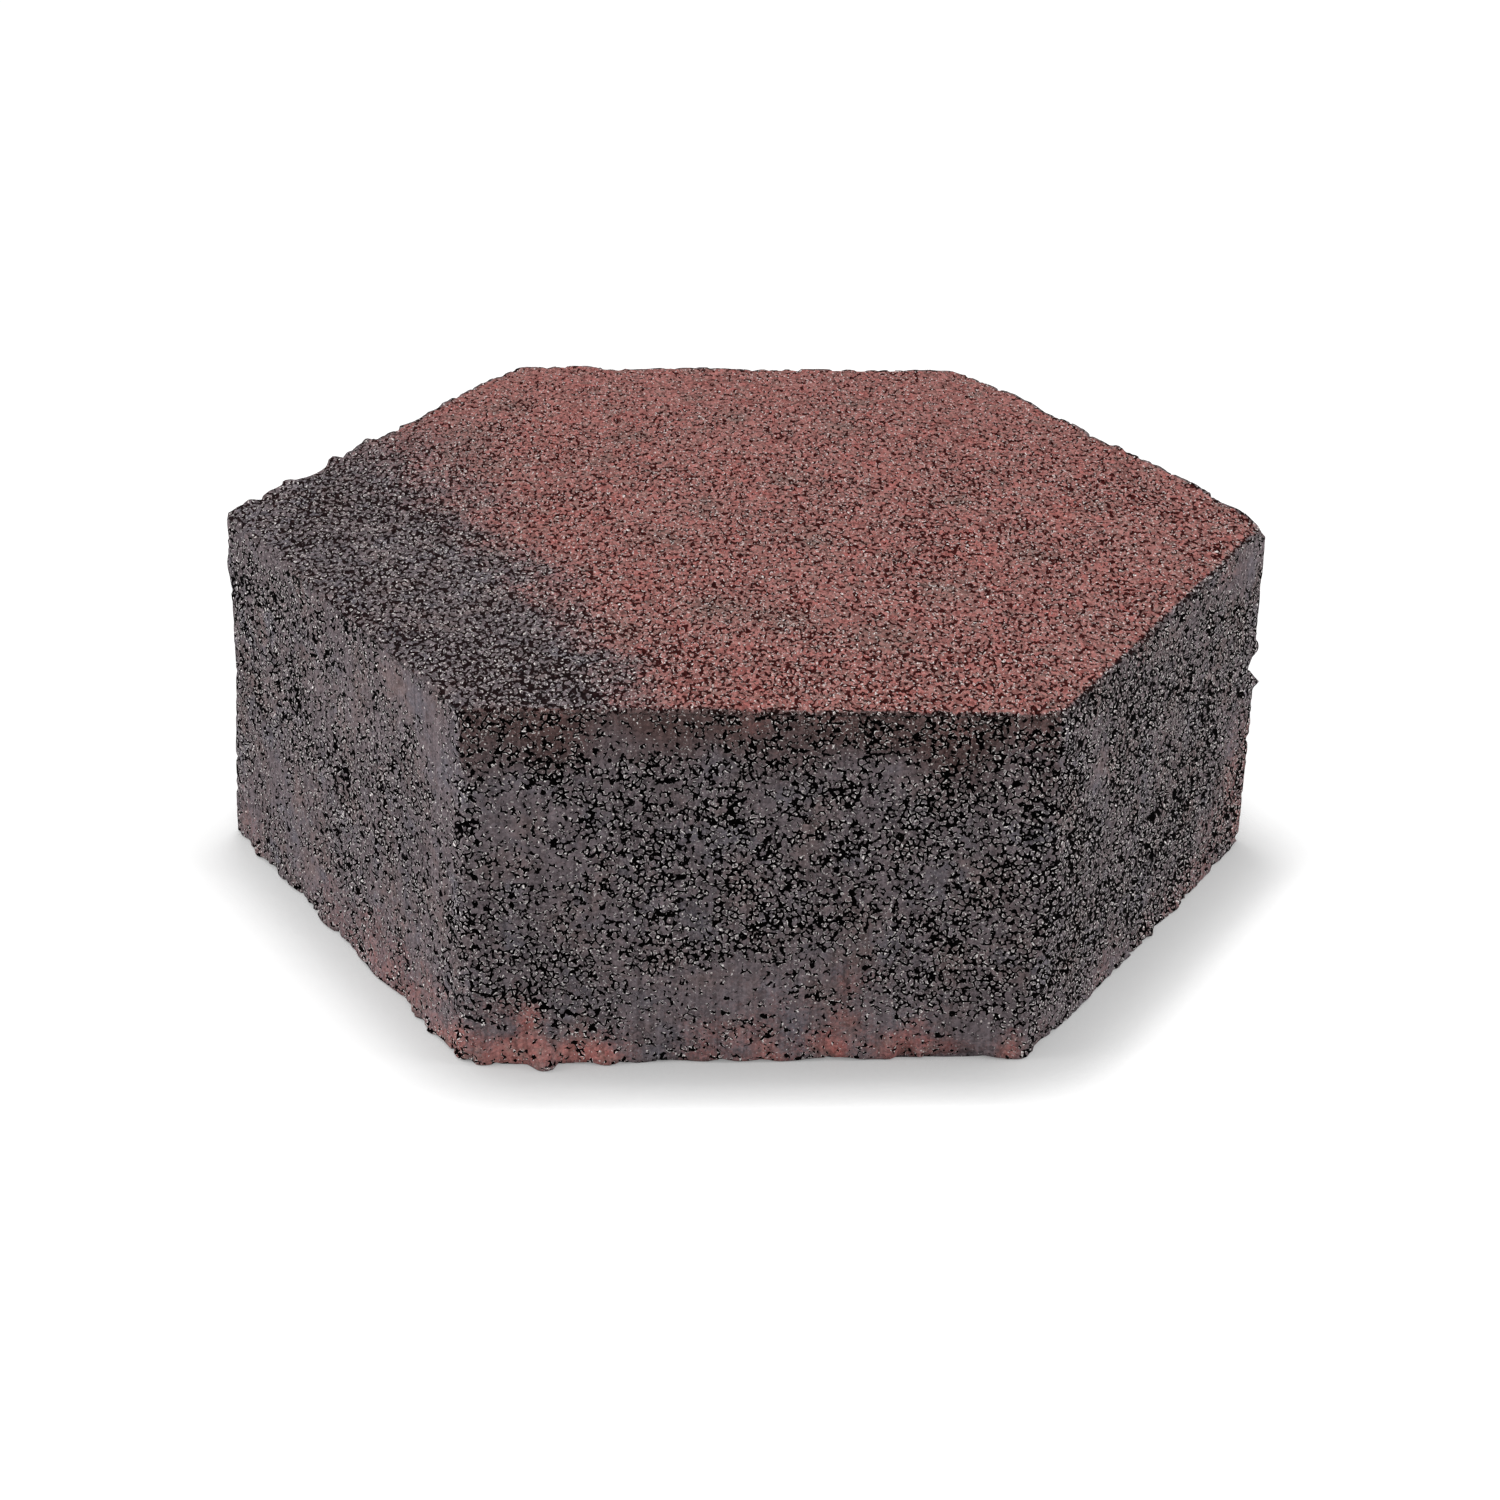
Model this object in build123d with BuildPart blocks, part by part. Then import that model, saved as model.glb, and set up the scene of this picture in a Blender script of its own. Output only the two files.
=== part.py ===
from build123d import *
import os

# Hexagonal concrete paving stone, pressed as one piece in a steel mould.
# It lies on its bed face, as it is laid: the origin is the middle of the bed
# face, +Z points up to the wearing face, and the widest corners lie on the
# X axis, so that one joint face looks towards -Y.

# Driving dimensions, in millimetres
across_flats = 203.0     # between opposite joint faces
thickness = 80.0         # bed face to wearing face
corner_radius = 5.0      # upright corners, as the mould box rounds them
arris_radius = 1.5       # edge of the wearing face, blunted by the press shoe
bed_chamfer = 0.8        # edge of the bed face, where the mix met the pallet

side_count = 6


with BuildPart() as paving_stone:
    # Plan of the mould box
    with BuildSketch() as plan:
        RegularPolygon(across_flats / 2, side_count, major_radius=False)
        fillet(plan.vertices(), corner_radius)
    extrude(amount=thickness)

    # The whole edge of the wearing face, round the corners too
    wearing_face = paving_stone.faces().sort_by(Axis.Z)[-1]
    fillet(wearing_face.outer_wire().edges(), arris_radius)

    # The whole edge of the bed face
    bed_face = paving_stone.faces().sort_by(Axis.Z)[0]
    chamfer(bed_face.outer_wire().edges(), bed_chamfer)

paving_stone.part.label = "paving_stone"


os.makedirs("parts", exist_ok=True)
export_step(paving_stone.part, "parts/paving_stone.step")

stone_box = paving_stone.part.bounding_box()
print(f"size {stone_box.size.X:.2f} x {stone_box.size.Y:.2f} x {stone_box.size.Z:.2f} mm")
print(f"volume {paving_stone.part.volume / 1e6:.4f} litres")
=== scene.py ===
import bpy
import math
from mathutils import Matrix, Vector, noise


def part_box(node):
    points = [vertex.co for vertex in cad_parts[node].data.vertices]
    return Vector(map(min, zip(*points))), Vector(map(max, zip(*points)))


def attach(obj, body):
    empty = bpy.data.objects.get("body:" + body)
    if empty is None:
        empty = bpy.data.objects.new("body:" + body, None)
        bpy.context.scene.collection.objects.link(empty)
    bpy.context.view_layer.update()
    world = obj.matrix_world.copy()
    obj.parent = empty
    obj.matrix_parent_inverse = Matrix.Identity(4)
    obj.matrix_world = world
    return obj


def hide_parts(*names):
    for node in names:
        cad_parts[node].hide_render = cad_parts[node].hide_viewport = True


# Hexagonal concrete paving stone: charcoal joint faces with open voids, and a
# wearing face of red pigment with a charcoal side.
# Lengths are in millimetres until they go into Blender, which takes metres.

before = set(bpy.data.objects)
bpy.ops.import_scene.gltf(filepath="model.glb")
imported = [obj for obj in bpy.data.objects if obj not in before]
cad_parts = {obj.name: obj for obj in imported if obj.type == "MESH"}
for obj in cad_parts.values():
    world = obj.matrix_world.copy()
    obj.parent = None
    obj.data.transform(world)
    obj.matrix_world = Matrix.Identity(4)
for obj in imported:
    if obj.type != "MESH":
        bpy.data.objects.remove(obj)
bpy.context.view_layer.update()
mm = 0.001
stoneNode = "paving_stone"

bpy.context.scene.view_settings.view_transform = "Standard"


# camera

photoCamera = {
    "imageSide": 1500,            # pixels, the photograph is square
    "focalLength": 3169.0,        # pixels
    "sensorWidth": 36.0,          # real millimetres, as Blender takes it
    "azimuth": -2.04,             # degrees, 0 looks along +Y
    "elevation": 25.9,            # degrees above the floor
    "roll": 1.42,                 # degrees
    "distance": 685.3,
    "aim": (-0.2, -46.2, 44.8),
    "nearest": 10,                # what the camera sees starts and ends this far away
    "farthest": 50000,
}


def aimDirections(azimuth, elevation, roll):
    az, el, turn = (math.radians(a) for a in (azimuth, elevation, roll))
    back = Vector((math.sin(az) * math.cos(el), -math.cos(az) * math.cos(el), math.sin(el)))
    level = Vector((math.cos(az), math.sin(az), 0))
    upright = back.cross(level)
    right = level * math.cos(turn) + upright * math.sin(turn)
    up = upright * math.cos(turn) - level * math.sin(turn)
    return right, up, back


def makeCamera(s):
    data = bpy.data.cameras.new("photoCamera")
    data.sensor_fit = "HORIZONTAL"
    data.sensor_width = s["sensorWidth"]
    data.lens = s["focalLength"] / s["imageSide"] * s["sensorWidth"]
    data.clip_start = s["nearest"] * mm
    data.clip_end = s["farthest"] * mm
    camera = bpy.data.objects.new("photoCamera", data)
    bpy.context.scene.collection.objects.link(camera)
    right, up, back = aimDirections(s["azimuth"], s["elevation"], s["roll"])
    place = (Vector(s["aim"]) + back * s["distance"]) * mm
    turned = Matrix((right, up, back)).transposed()
    camera.matrix_world = Matrix.Translation(place) @ turned.to_4x4()
    bpy.context.scene.camera = camera


makeCamera(photoCamera)
print("camera stands")


# node helpers

def mathNode(tree, operation, a, b):
    node = tree.nodes.new("ShaderNodeMath")
    node.operation = operation
    for socket, value in zip(node.inputs, (a, b)):
        if isinstance(value, (int, float)):
            socket.default_value = value
        else:
            tree.links.new(value, socket)
    return node.outputs[0]


def ramp(tree, value, fromLow, fromHigh, toLow=0.0, toHigh=1.0, smooth=True):
    node = tree.nodes.new("ShaderNodeMapRange")
    node.interpolation_type = "SMOOTHSTEP" if smooth else "LINEAR"
    for name, given in (("Value", value), ("From Min", fromLow), ("From Max", fromHigh),
                        ("To Min", toLow), ("To Max", toHigh)):
        if isinstance(given, (int, float)):
            node.inputs[name].default_value = given
        else:
            tree.links.new(given, node.inputs[name])
    return node.outputs["Result"]


def scaled(tree, vector, factor):
    node = tree.nodes.new("ShaderNodeVectorMath")
    node.operation = "SCALE"
    tree.links.new(vector, node.inputs[0])
    if isinstance(factor, (int, float)):
        node.inputs["Scale"].default_value = factor
    else:
        tree.links.new(factor, node.inputs["Scale"])
    return node.outputs["Vector"]


def stretched(tree, vector, factors):
    node = tree.nodes.new("ShaderNodeVectorMath")
    node.operation = "MULTIPLY"
    tree.links.new(vector, node.inputs[0])
    node.inputs[1].default_value = factors
    return node.outputs["Vector"]


def noiseNode(tree, vector, scale, detail=1.0, roughness=0.5):
    node = tree.nodes.new("ShaderNodeTexNoise")
    tree.links.new(vector, node.inputs["Vector"])
    node.inputs["Scale"].default_value = scale
    node.inputs["Detail"].default_value = detail
    node.inputs["Roughness"].default_value = roughness
    return node.outputs["Fac"]


def bent(tree, vector, scale, amount, detail=1.0):
    # the vector pushed about by noise
    node = tree.nodes.new("ShaderNodeTexNoise")
    tree.links.new(vector, node.inputs["Vector"])
    node.inputs["Scale"].default_value = scale
    node.inputs["Detail"].default_value = detail
    push = tree.nodes.new("ShaderNodeVectorMath")
    push.operation = "MULTIPLY_ADD"
    tree.links.new(node.outputs["Color"], push.inputs[0])
    push.inputs[1].default_value = (amount, amount, amount)
    tree.links.new(vector, push.inputs[2])
    return push.outputs["Vector"]


def mixColor(tree, factor, a, b, blend="MIX"):
    node = tree.nodes.new("ShaderNodeMix")
    node.data_type = "RGBA"
    node.blend_type = blend
    sockets = {"Factor": node.inputs[0], "A": node.inputs[6], "B": node.inputs[7]}
    for name, given in (("Factor", factor), ("A", a), ("B", b)):
        if isinstance(given, (int, float)):
            sockets[name].default_value = given
        elif isinstance(given, tuple):
            sockets[name].default_value = (*given, 1)
        else:
            tree.links.new(given, sockets[name])
    return node.outputs[2]


def newGroup(name, inputs, outputs):
    tree = bpy.data.node_groups.new(name, "ShaderNodeTree")
    for socketName, kind, value in inputs:
        socket = tree.interface.new_socket(name=socketName, in_out="INPUT", socket_type=kind)
        if value is not None:
            socket.default_value = value
    for socketName, kind in outputs:
        tree.interface.new_socket(name=socketName, in_out="OUTPUT", socket_type=kind)
    return tree, tree.nodes.new("NodeGroupInput"), tree.nodes.new("NodeGroupOutput")


def placeGroup(tree, group, **given):
    node = tree.nodes.new("ShaderNodeGroup")
    node.node_tree = group
    for name, value in given.items():
        socket = node.inputs[name]
        if isinstance(value, (int, float)):
            socket.default_value = value
        elif isinstance(value, tuple):
            socket.default_value = (*value, 1)
        else:
            tree.links.new(value, socket)
    return node


def times(tree, a, b):
    return mathNode(tree, "MULTIPLY", a, b)


def plus(tree, a, b):
    return mathNode(tree, "ADD", a, b)


def minus(tree, a, b):
    return mathNode(tree, "SUBTRACT", a, b)


def largest(tree, a, b):
    return mathNode(tree, "MAXIMUM", a, b)


def shifted(tree, vector, offset):
    node = tree.nodes.new("ShaderNodeVectorMath")
    node.operation = "ADD"
    tree.links.new(vector, node.inputs[0])
    node.inputs[1].default_value = offset
    return node.outputs["Vector"]


# light

studioLight = {
    "skyStrength": 0.46,
    # square lamps: where each hangs as seen from the stone, how far away, its side and its power
    "lamps": {
        "windowLeft": {"toward": (-0.90, -0.05, 0.43), "away": 1500, "side": 900, "watts": 16.9},
        "cardRight": {"toward": (0.90, -0.05, 0.43), "away": 1500, "side": 900, "watts": 14.2},
        "cardFront": {"toward": (0.0, -0.80, 0.60), "away": 1500, "side": 900, "watts": 6.5},
    },
}


def makeLamp(name, s):
    data = bpy.data.lights.new(name, "AREA")
    data.shape = "SQUARE"
    data.size = s["side"] * mm
    data.energy = s["watts"]
    lamp = bpy.data.objects.new(name, data)
    bpy.context.scene.collection.objects.link(lamp)
    toward = Vector(s["toward"]).normalized()
    lamp.location = toward * s["away"] * mm
    lamp.rotation_euler = toward.to_track_quat("Z", "Y").to_euler()


def seenDirectly(tree):
    # 1 for camera, mirror and clear rays, which see the plain white of the backdrop
    path = tree.nodes.new("ShaderNodeLightPath")
    reflected = largest(tree, path.outputs["Is Camera Ray"], path.outputs["Is Glossy Ray"])
    return largest(tree, reflected, path.outputs["Is Transmission Ray"])


def makeSky(strength):
    world = bpy.data.worlds.new("studio")
    world.use_nodes = True
    bpy.context.scene.world = world
    tree = world.node_tree
    sky = tree.nodes["Background"]
    sky.inputs["Color"].default_value = (1, 1, 1, 1)
    blend = tree.nodes.new("ShaderNodeMix")
    tree.links.new(seenDirectly(tree), blend.inputs["Factor"])
    blend.inputs["A"].default_value = strength
    blend.inputs["B"].default_value = 1
    tree.links.new(blend.outputs["Result"], sky.inputs["Strength"])


makeSky(studioLight["skyStrength"])
for lampName, lampSettings in studioLight["lamps"].items():
    makeLamp(lampName, lampSettings)
print("lamps hang")


# floor

paleFloor = {
    "side": 3000,
    "paint": (0.36, 0.36, 0.36),
    # the white that the paint glows with towards the camera, right by the stone and in the open
    "glowNear": 0.20,
    "glowFar": 0.75,
    # the contact shadow: how far it reaches, which way the floor looks out from it, and how open
    # the floor is where the shadow is darkest
    "shadowReach": 20.0,
    "shadowLean": (-0.34, 0.98, 0.80),
    "darkestAt": 0.5,
    "shadowSamples": 2,
}


def makeFloor(s):
    half = s["side"] / 2 * mm
    mesh = bpy.data.meshes.new("floor")
    corners = [(-half, -half, 0), (half, -half, 0), (half, half, 0), (-half, half, 0)]
    mesh.from_pydata(corners, [], [(0, 1, 2, 3)])
    floor = bpy.data.objects.new("floor", mesh)
    bpy.context.scene.collection.objects.link(floor)
    paint = bpy.data.materials.new("floorPaint")
    paint.use_nodes = True
    tree = paint.node_tree
    body = tree.nodes["Principled BSDF"]
    body.inputs["Base Color"].default_value = (*s["paint"], 1)
    body.inputs["Roughness"].default_value = 1
    body.inputs["Specular IOR Level"].default_value = 0
    body.inputs["Emission Color"].default_value = (1, 1, 1, 1)
    contact = tree.nodes.new("ShaderNodeAmbientOcclusion")
    contact.samples = s["shadowSamples"]
    contact.inputs["Distance"].default_value = s["shadowReach"] * mm
    lean = tree.nodes.new("ShaderNodeCombineXYZ")
    for axis, value in zip("XYZ", Vector(s["shadowLean"]).normalized()):
        lean.inputs[axis].default_value = value
    tree.links.new(lean.outputs["Vector"], contact.inputs["Normal"])
    glow = ramp(tree, contact.outputs["AO"], s["darkestAt"], 1, s["glowNear"], s["glowFar"], smooth=False)
    tree.links.new(times(tree, seenDirectly(tree), glow), body.inputs["Emission Strength"])
    mesh.materials.append(paint)


makeFloor(paleFloor)
print("floor lies")


# the stone's form

low, high = (Vector(corner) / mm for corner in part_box(stoneNode))

stoneForm = {
    "columns": 110,               # on each joint face
    "sideRows": 73,
    "arrisRows": 3,
    "cornerRadius": 5.0,
    "arrisRadius": 1.0,
    "arrisFace": 0.1,             # the part of that radius that still looks like the wearing face
    "bedBreak": 0.5,
    "thickness": high.z - low.z,
    "apothem": (high.y - low.y) / 2,
    # how far each corner stands off the mould's regular hexagon, from +X round by +Y
    "wearingNudge": [(0.6, 1.4), (-1.0, 2.0), (1.3, 1.4), (-0.5, 0.4), (-0.6, -0.5), (1.4, -0.2)],
    "bedNudge": [(1.0, -0.3), (-1.0, 0.6), (1.0, 0.2), (-1.9, 0.7), (-0.8, -2.2), (-1.2, 1.6)],
}

sideCount = 6
turnPerSide = math.tau / sideCount
circumradius = stoneForm["apothem"] / math.cos(turnPerSide / 2)


def outlinePoint(side, share):
    # a point of the mould's plan and its outward direction, share from one corner's
    # middle to the next
    radius = stoneForm["cornerRadius"]
    first = side * turnPerSide
    facing = first + turnPerSide / 2
    arc = radius * turnPerSide / 2
    straight = circumradius - 2 * radius * math.tan(turnPerSide / 2)
    along = share * (2 * arc + straight)
    if along < arc:
        centre, normalAngle, slid = first, first + along / radius, 0
    elif along > arc + straight:
        centre, slid = first + turnPerSide, 0
        normalAngle = facing + (along - arc - straight) / radius
    else:
        centre, normalAngle, slid = first, facing, along - arc
    pivot = circumradius - radius / math.cos(turnPerSide / 2)
    outward = Vector((math.cos(normalAngle), math.sin(normalAngle), 0))
    tangent = Vector((-outward.y, outward.x, 0))
    point = Vector((math.cos(centre), math.sin(centre), 0)) * pivot + outward * radius + tangent * slid
    return point, outward


def nudgeAt(side, share, ratio, height):
    # the corners' offsets, shared out along the side and up the stone
    rise = 1 - (1 - height / stoneForm["thickness"]) ** 2
    total = Vector((0, 0, 0))
    for corner, cornerShare in ((side % sideCount, 1 - share), ((side + 1) % sideCount, share)):
        up = Vector((*stoneForm["wearingNudge"][corner], 0))
        down = Vector((*stoneForm["bedNudge"][corner], 0))
        total += (up * rise + down * (1 - rise)) * cornerShare * ratio
    return total


# places are side + share, as outlinePoint counts them, and sizes are in mm
edgeWear = {
    # bites out of the wearing face's edge: place, length, depth
    "arrisBites": [
        (0.00, 4.0, 1.0), (0.00, 9.0, 1.2), (0.00, 18.0, 0.6), (0.13, 7.0, 0.5), (0.52, 16.0, 0.1),
        (0.97, 10.0, 0.3), (1.72, 12.0, 0.2), (1.78, 4.0, 0.3), (2.03, 9.0, 0.5), (2.06, 6.0, 0.3),
        (2.20, 6.0, 0.1), (2.30, 5.0, 0.6), (2.37, 12.0, 0.95), (2.48, 12.0, 0.9), (2.60, 4.0, 0.4),
        (2.63, 3.5, 1.1), (2.72, 11.0, 1.7), (2.78, 4.0, 0.5), (2.90, 3.6, 0.9), (3.02, 4.0, 0.4),
        (3.55, 5.0, 0.3), (4.02, 4.0, 0.5), (4.46, 4.0, 0.35), (4.95, 5.0, 0.8), (5.40, 6.0, 0.3),
        (5.96, 6.0, 0.8),
    ],
    # where that edge stands proud instead: place, length, height
    "arrisBurrs": [
        (0.30, 32.0, 0.9), (0.455, 6.0, 0.9), (0.62, 12.0, 0.6), (0.79, 16.0, 0.8), (1.08, 12.0, 0.4),
        (1.32, 20.0, 0.2), (1.60, 24.0, 0.4), (1.87, 10.0, 0.4), (2.54, 2.5, 0.9), (2.66, 2.5, 0.6),
        (2.81, 4.0, 1.0), (2.93, 3.0, 0.6),
    ],
    # lumps and hollows of the foot: place, length, how far out
    "footLumps": [
        (3.06, 4.0, -0.9), (3.12, 4.0, 0.9), (3.32, 6.0, -1.1), (3.42, 9.0, 0.6), (3.48, 3.0, -0.5),
        (3.66, 8.0, 0.5), (3.75, 8.0, -0.9), (3.81, 3.0, 0.8), (3.87, 4.0, 1.0), (4.03, 4.0, 0.6),
        (4.14, 5.5, 3.4), (4.25, 6.0, 0.9), (4.37, 7.0, -0.7), (4.78, 4.0, -2.2), (4.87, 11.0, -2.3),
        (5.05, 9.0, -1.2), (5.12, 5.0, 0.2), (5.42, 20.0, 0.5), (5.52, 7.0, 1.0), (5.66, 16.0, 0.8),
        (5.86, 5.0, -0.5), (0.20, 7.0, 0.7), (0.48, 9.0, -0.8), (0.80, 6.0, 0.9), (1.22, 8.0, -0.7),
        (1.52, 6.0, 1.0), (1.77, 10.0, 0.5), (2.15, 7.0, -0.8), (2.44, 5.0, 0.8), (2.73, 9.0, -0.5),
        (2.90, 5.0, 0.6),
    ],
    # knocks on the upright corners: place, height, width, tall, how far out
    "cornerKnocks": [
        (0.0, 43.9, 3.5, 1.1, -2.4), (0.0, 46.0, 3.5, 1.4, -1.1), (0.0, 41.4, 4.0, 1.2, 1.6),
        (0.0, 49.8, 3.0, 1.7, 0.9), (0.0, 30.0, 8.0, 11.0, 0.45), (0.0, 78.3, 2.5, 1.6, 1.0),
        (3.0, 46.0, 5.0, 13.0, -0.6), (3.0, 67.5, 4.0, 2.2, 0.5), (3.0, 33.0, 5.0, 9.0, -0.2),
        (1.0, 24.0, 4.0, 4.0, -0.6), (2.0, 52.0, 4.0, 3.0, -0.5),
    ],
    # how far from an edge or corner its wear is looked for
    "arrisZone": 12,
    "footZone": 14,
    "cornerZone": 15,
    # the wearing face's edge: how far in and down it is worn, how far that goes at the bites and
    # burrs, the ragged loss all along it, and how its loss is shared between inward and downward
    "arrisReach": 1.5,
    "biteReach": 1.8,             # times arrisReach
    "biteBluntness": 4,
    "arrisRagged": 0.4,
    "arrisRaggedNoise": (3.0, 2.2),    # span and seed, as in every such pair
    "arrisRaggedBias": 0.15,      # the higher, the fewer places stay sound
    "lossInward": 0.6,
    "lossDownward": 0.8,
    # the ragged foot: how far up it goes, how far out, and how far it is lifted off the floor
    "footReach": 4.0,
    "footRagged": 0.55,
    "footRaggedNoise": (5.5, 9.1),
    "footDrawnUp": 0.5,           # under 1 stretches that noise upwards
    "lumpBluntness": 3,
    "footLift": 1.2,
    "footLiftNoise": (7.0, 6.4),
    "footLiftBias": 0.1,
    "bedLiftReach": 5.0,          # how far in under the stone the lift goes
}

reliefSize = {
    # long waves, lumps and sand: the span of the noise, its height and its seed
    "surface": [(38.0, 0.25, 0.7), (4.5, 0.16, 1.3), (1.7, 0.10, 8.8)],
    "bedShare": 0.3,              # of that relief, on the bed face
    # the hollows of the open voids
    "hollowNoise": (2.1, 12.4),
    "hollowDepth": 0.75,
    # the noise at which a hollow starts and is full, in closed skin and how much lower in open skin
    "hollowStart": (0.42, 0.38),
    "hollowFull": (0.62, 0.30),
    "hollowShare": {"wearing": 0.45, "side": 1.0},     # of that depth
    "hollowOpens": {"wearing": 0.1, "side": 0.15},     # how much a hollow adds to the openness
}


def apart(place, other):
    # distance in mm along the outline between two places
    gap = abs(place - other) % sideCount
    return min(gap, sideCount - gap) * circumradius


def bump(distance, width, power=2):
    return math.exp(-(abs(distance / width) ** power))


def fadeIn(value, start, end):
    t = min(max((value - start) / (end - start), 0), 1)
    return t * t * (3 - 2 * t)


def noiseAt(point, span, seed):
    # each seed is another part of the noise
    return noise.noise(point / span + Vector((seed, 2.3 * seed, -1.7 * seed)))


def wander(point, waves, start=0):
    # noise waves added up, each with its span, its amount and its seed
    return sum((noiseAt(point, span, seed) * amount for span, amount, seed in waves), start)


# how the mix lies: pigments and voids

# patches are (x, y) from the middle of the wearing face and their radius, in mm
redMix = {
    # the charcoal side of the wearing face ends along this line, from the front round to the left
    "charcoalEdge": [(-20, -106), (-23, -90), (-29, -70), (-41, -50), (-48, -30), (-56, -10),
                     (-67, 10), (-75, 30), (-82, 48)],
    "edgeWander": [(16, 8, 3.1), (5, 7, 7.7)],
    "charcoalSoftness": 17.0,
    "charcoalFeathered": 26.0,    # how much softer that edge gets between these two y
    "featheredAt": (-10, 60),
    "olivePatches": [
        (-10, 7, 7), (-18, -12, 8), (-9, -50, 9), (14, -12, 6), (26, -64, 10), (48, 12, 5), (6, -56, 8),
        (24, 60, 7), (-34, 36, 6), (29, 76, 4), (-28, 52, 6), (62, -20, 7), (40, -40, 7), (-30, -62, 9),
        (-2, 66, 6), (80, 10, 5), (10, 24, 6), (-60, 30, 8), (-72, 40, 10), (-66, 54, 8), (-58, 72, 8),
    ],
    "brightPatches": [
        (0, -92, 9), (22, -90, 8), (44, -88, 8), (6, 84, 7), (-2, 28, 8), (50, -18, 9), (70, 2, 9),
        (-20, -38, 8), (58, 50, 8), (-40, 70, 8), (-30, 10, 7), (76, -34, 8), (34, 30, 8), (-44, 48, 7),
        (-12, -74, 7),
    ],
}

# joint faces are numbered round from the one next to +X on its +Y side: seen from the camera, 3 is
# on the left, 4 in front and 5 on the right

# red stains on each joint face: (along from its left edge, height, radius, strength)
jointStains = {
    4: [
        (3, 2, 9, 0.55), (13, 3, 8, 0.5), (13, 11, 3, 0.35), (24, 2, 6, 0.6), (31, 1, 4, 0.5),
        (50, 2, 6, 0.5), (62, 2, 6, 0.6), (70, 6, 12, 0.12), (77, 3, 4, 0.8), (78, 11, 4, 0.5),
        (79, 19, 4, 0.3), (91, 3, 6, 0.8), (100, 2, 4, 0.4), (113, 2, 4, 0.8), (58, 16, 24, 0.05),
        (96, 76, 5, 0.25), (112, 74, 5, 0.2), (57, 78, 5, 0.25), (72, 79, 4, 0.3), (18, 79, 5, 0.2),
    ],
    3: [
        (116, 2, 9, 0.6), (102, 2, 11, 0.3), (87, 3, 12, 0.27), (71, 6, 11, 0.24), (56, 3, 8, 0.22),
        (84, 12, 8, 0.1), (10, 4, 9, 0.25), (40, 1, 8, 0.15),
    ],
    5: [
        (115, 8, 8, 0.45), (114, 22, 7, 0.3), (108, 18, 13, 0.22), (110, 36, 12, 0.12), (94, 3, 9, 0.4),
        (76, 2, 9, 0.35), (58, 2, 7, 0.25), (36, 1, 6, 0.3), (5, 1, 5, 0.3), (90, 79, 6, 0.3),
        (40, 79, 6, 0.3),
    ],
    0: [(10, 3, 10, 0.8), (40, 2, 9, 0.6), (70, 3, 12, 0.7), (104, 2, 10, 0.8), (60, 74, 8, 0.3)],
    1: [(20, 2, 12, 0.8), (52, 3, 9, 0.6), (86, 2, 12, 0.9), (110, 5, 7, 0.5), (34, 75, 8, 0.3)],
    2: [(8, 2, 9, 0.6), (44, 3, 14, 0.8), (92, 2, 11, 0.6), (80, 72, 8, 0.3)],
}

stainEdge = [(6, 0.6, 5.3), (2.2, 0.3, 1.9)]    # how the radius of a stain wanders

# the dark umber skin along the top of the joint faces
umberBand = {
    "share": {0: 0.4, 1: 0.4, 2: 0.4, 3: 0.1, 4: 1.0, 5: 0.15},
    "starts": 62,
    "full": 77,
    "wander": [(12, 10, 3.9)],
}

# how open the skin is: 0 is closed, 1 full of voids, and joint faces may go a little past 1
jointSkin = {
    "openness": {0: 0.74, 1: 0.78, 2: 0.72, 3: 0.77, 4: 0.77, 5: 0.94},
    "drift": [(9, 0.25, 11.3), (4.2, 0.3, 4.9)],
    "crowding": 0.18,
    "smearing": 0.75,
    "most": 1.3,
}

wearingSkin = {
    "openness": 0.59,
    "charcoalMore": 0.22,
    # less towards the back and a little more towards the front, each fading in between two distances
    "backLess": 0.15,
    "backAt": (20, 95),
    "frontMore": 0.07,
    "frontAt": (30, 90),
    "charcoalTakes": 0.8,         # of what the front has more
    "drift": [(8, 0.22, 4.4)],
}

bedOpenness = 0.3

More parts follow.
